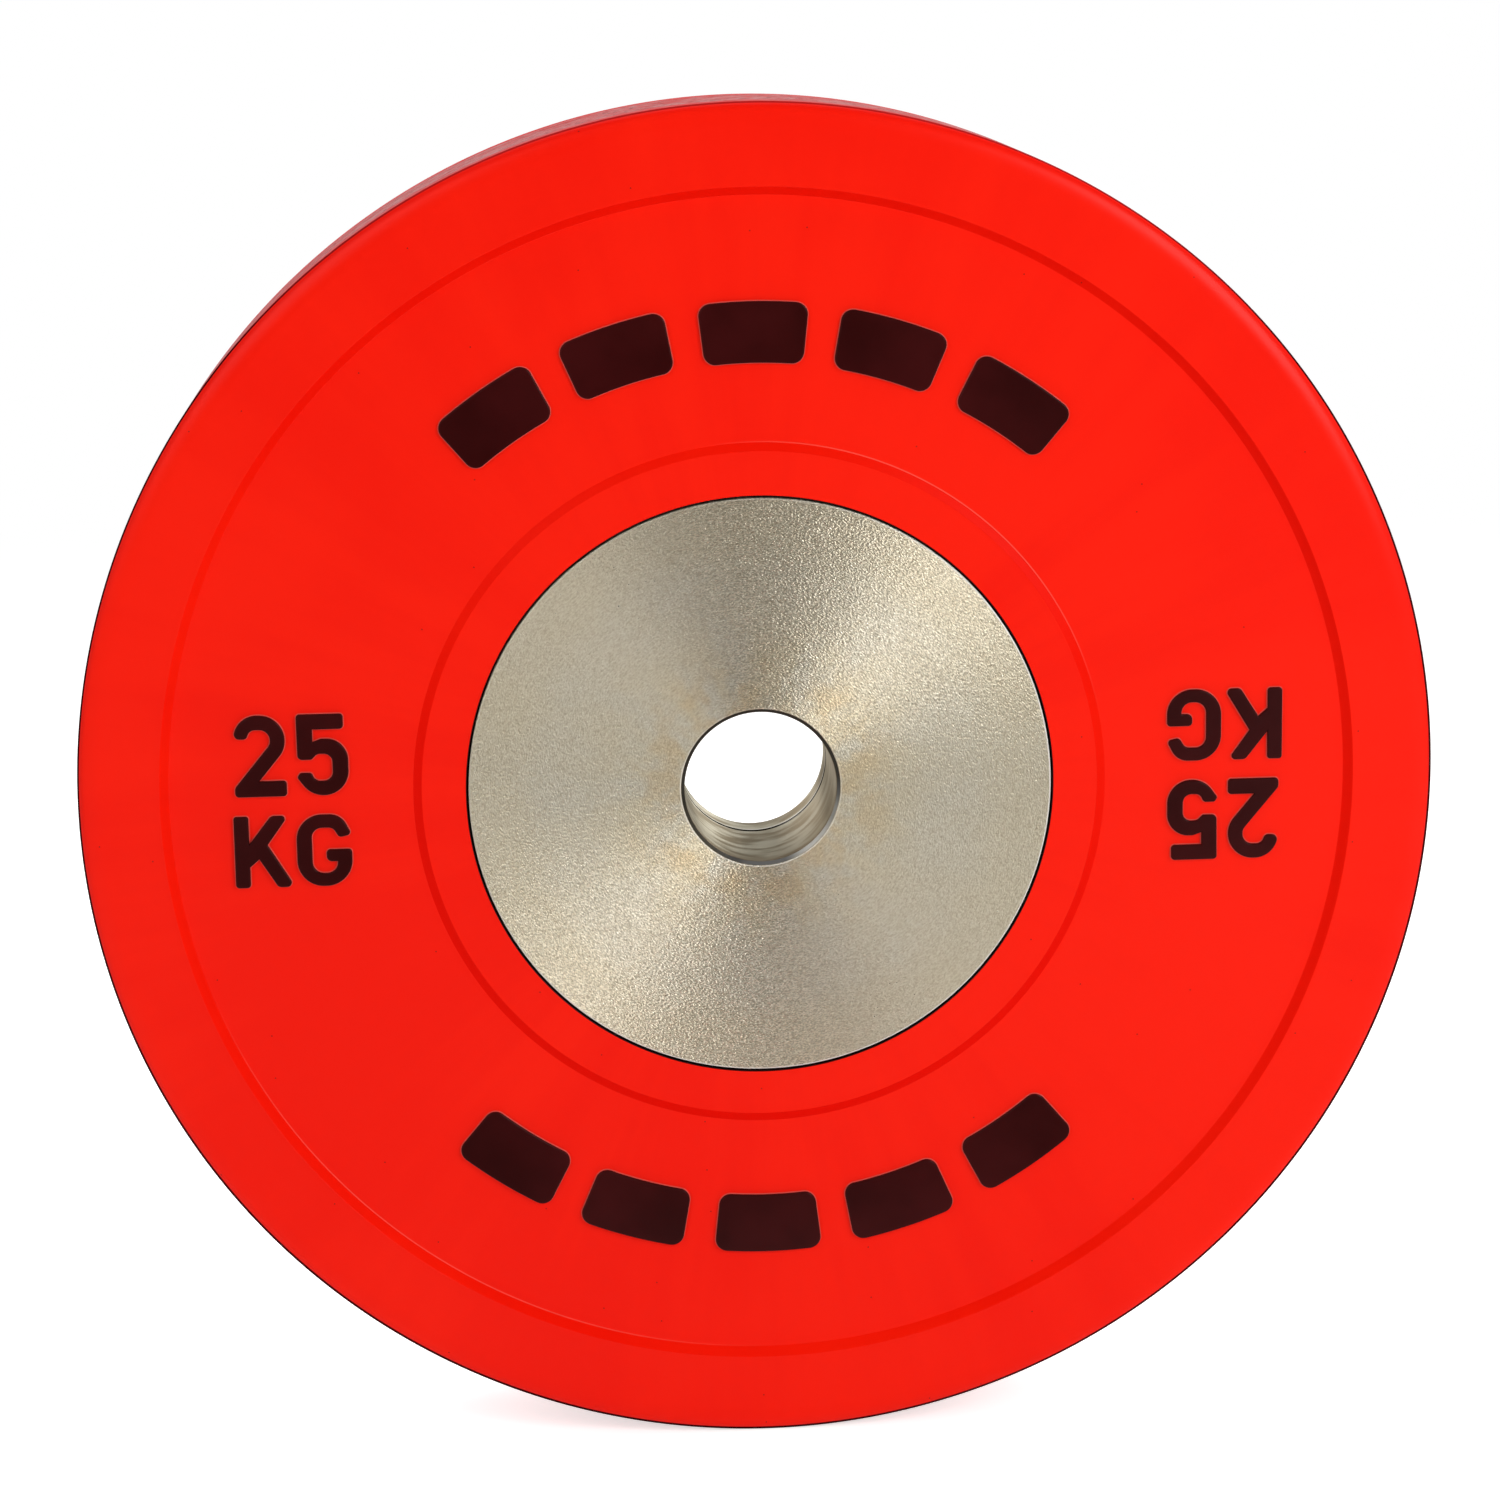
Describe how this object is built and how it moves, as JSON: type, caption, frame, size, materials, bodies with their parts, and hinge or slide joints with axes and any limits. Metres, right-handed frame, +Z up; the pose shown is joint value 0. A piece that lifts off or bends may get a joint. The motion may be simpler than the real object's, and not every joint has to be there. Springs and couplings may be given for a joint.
{
  "type": "weight plate",
  "caption": "Red rubber bumper weight plate for a barbell, with a bolted steel hub, a plain bore, raised rims and raised black weight marks on both faces.",
  "frame": {"origin": "centre of the plate: on the bore's axis, midway between the two faces", "axes": "the plate stands upright on its tread as pictured: +Y along the bore from the front face to the back face, +Z up, +X to the viewer's right"},
  "size_m": [0.45, 0.065, 0.45],
  "materials": {
    "body_rubber": "smooth moulded red rubber, satin",
    "mark_rubber": "smooth moulded black rubber, semi-gloss",
    "hub_steel": "turned face with fine circular tool marks",
    "core_steel": "plain dark steel, hidden in the rubber",
    "bolt_steel": "zinc-plated socket-head screw"
  },
  "bodies": {
    "root": {"rubber_body": "body_rubber", "core_ring": "core_steel", "front_hub_disc": "hub_steel", "back_hub_disc": "hub_steel", "hub_bolt_1": "bolt_steel", "hub_bolt_2": "bolt_steel", "hub_bolt_3": "bolt_steel", "hub_bolt_4": "bolt_steel", "hub_bolt_5": "bolt_steel", "hub_bolt_6": "bolt_steel", "front_left_digit_2": "mark_rubber", "front_left_digit_5": "mark_rubber", "front_left_letter_K": "mark_rubber", "front_left_letter_G": "mark_rubber", "front_right_digit_2": "mark_rubber", "front_right_digit_5": "mark_rubber", "front_right_letter_K": "mark_rubber", "front_right_letter_G": "mark_rubber", "front_top_dash_1": "mark_rubber", "front_top_dash_2": "mark_rubber", "front_top_dash_3": "mark_rubber", "front_top_dash_4": "mark_rubber", "front_top_dash_5": "mark_rubber", "front_bottom_dash_1": "mark_rubber", "front_bottom_dash_2": "mark_rubber", "front_bottom_dash_3": "mark_rubber", "front_bottom_dash_4": "mark_rubber", "front_bottom_dash_5": "mark_rubber", "back_left_digit_2": "mark_rubber", "back_left_digit_5": "mark_rubber", "back_left_letter_K": "mark_rubber", "back_left_letter_G": "mark_rubber", "back_right_digit_2": "mark_rubber", "back_right_digit_5": "mark_rubber", "back_right_letter_K": "mark_rubber", "back_right_letter_G": "mark_rubber", "back_top_dash_1": "mark_rubber", "back_top_dash_2": "mark_rubber", "back_top_dash_3": "mark_rubber", "back_top_dash_4": "mark_rubber", "back_top_dash_5": "mark_rubber", "back_bottom_dash_1": "mark_rubber", "back_bottom_dash_2": "mark_rubber", "back_bottom_dash_3": "mark_rubber", "back_bottom_dash_4": "mark_rubber", "back_bottom_dash_5": "mark_rubber"}
  },
  "joints": []
}
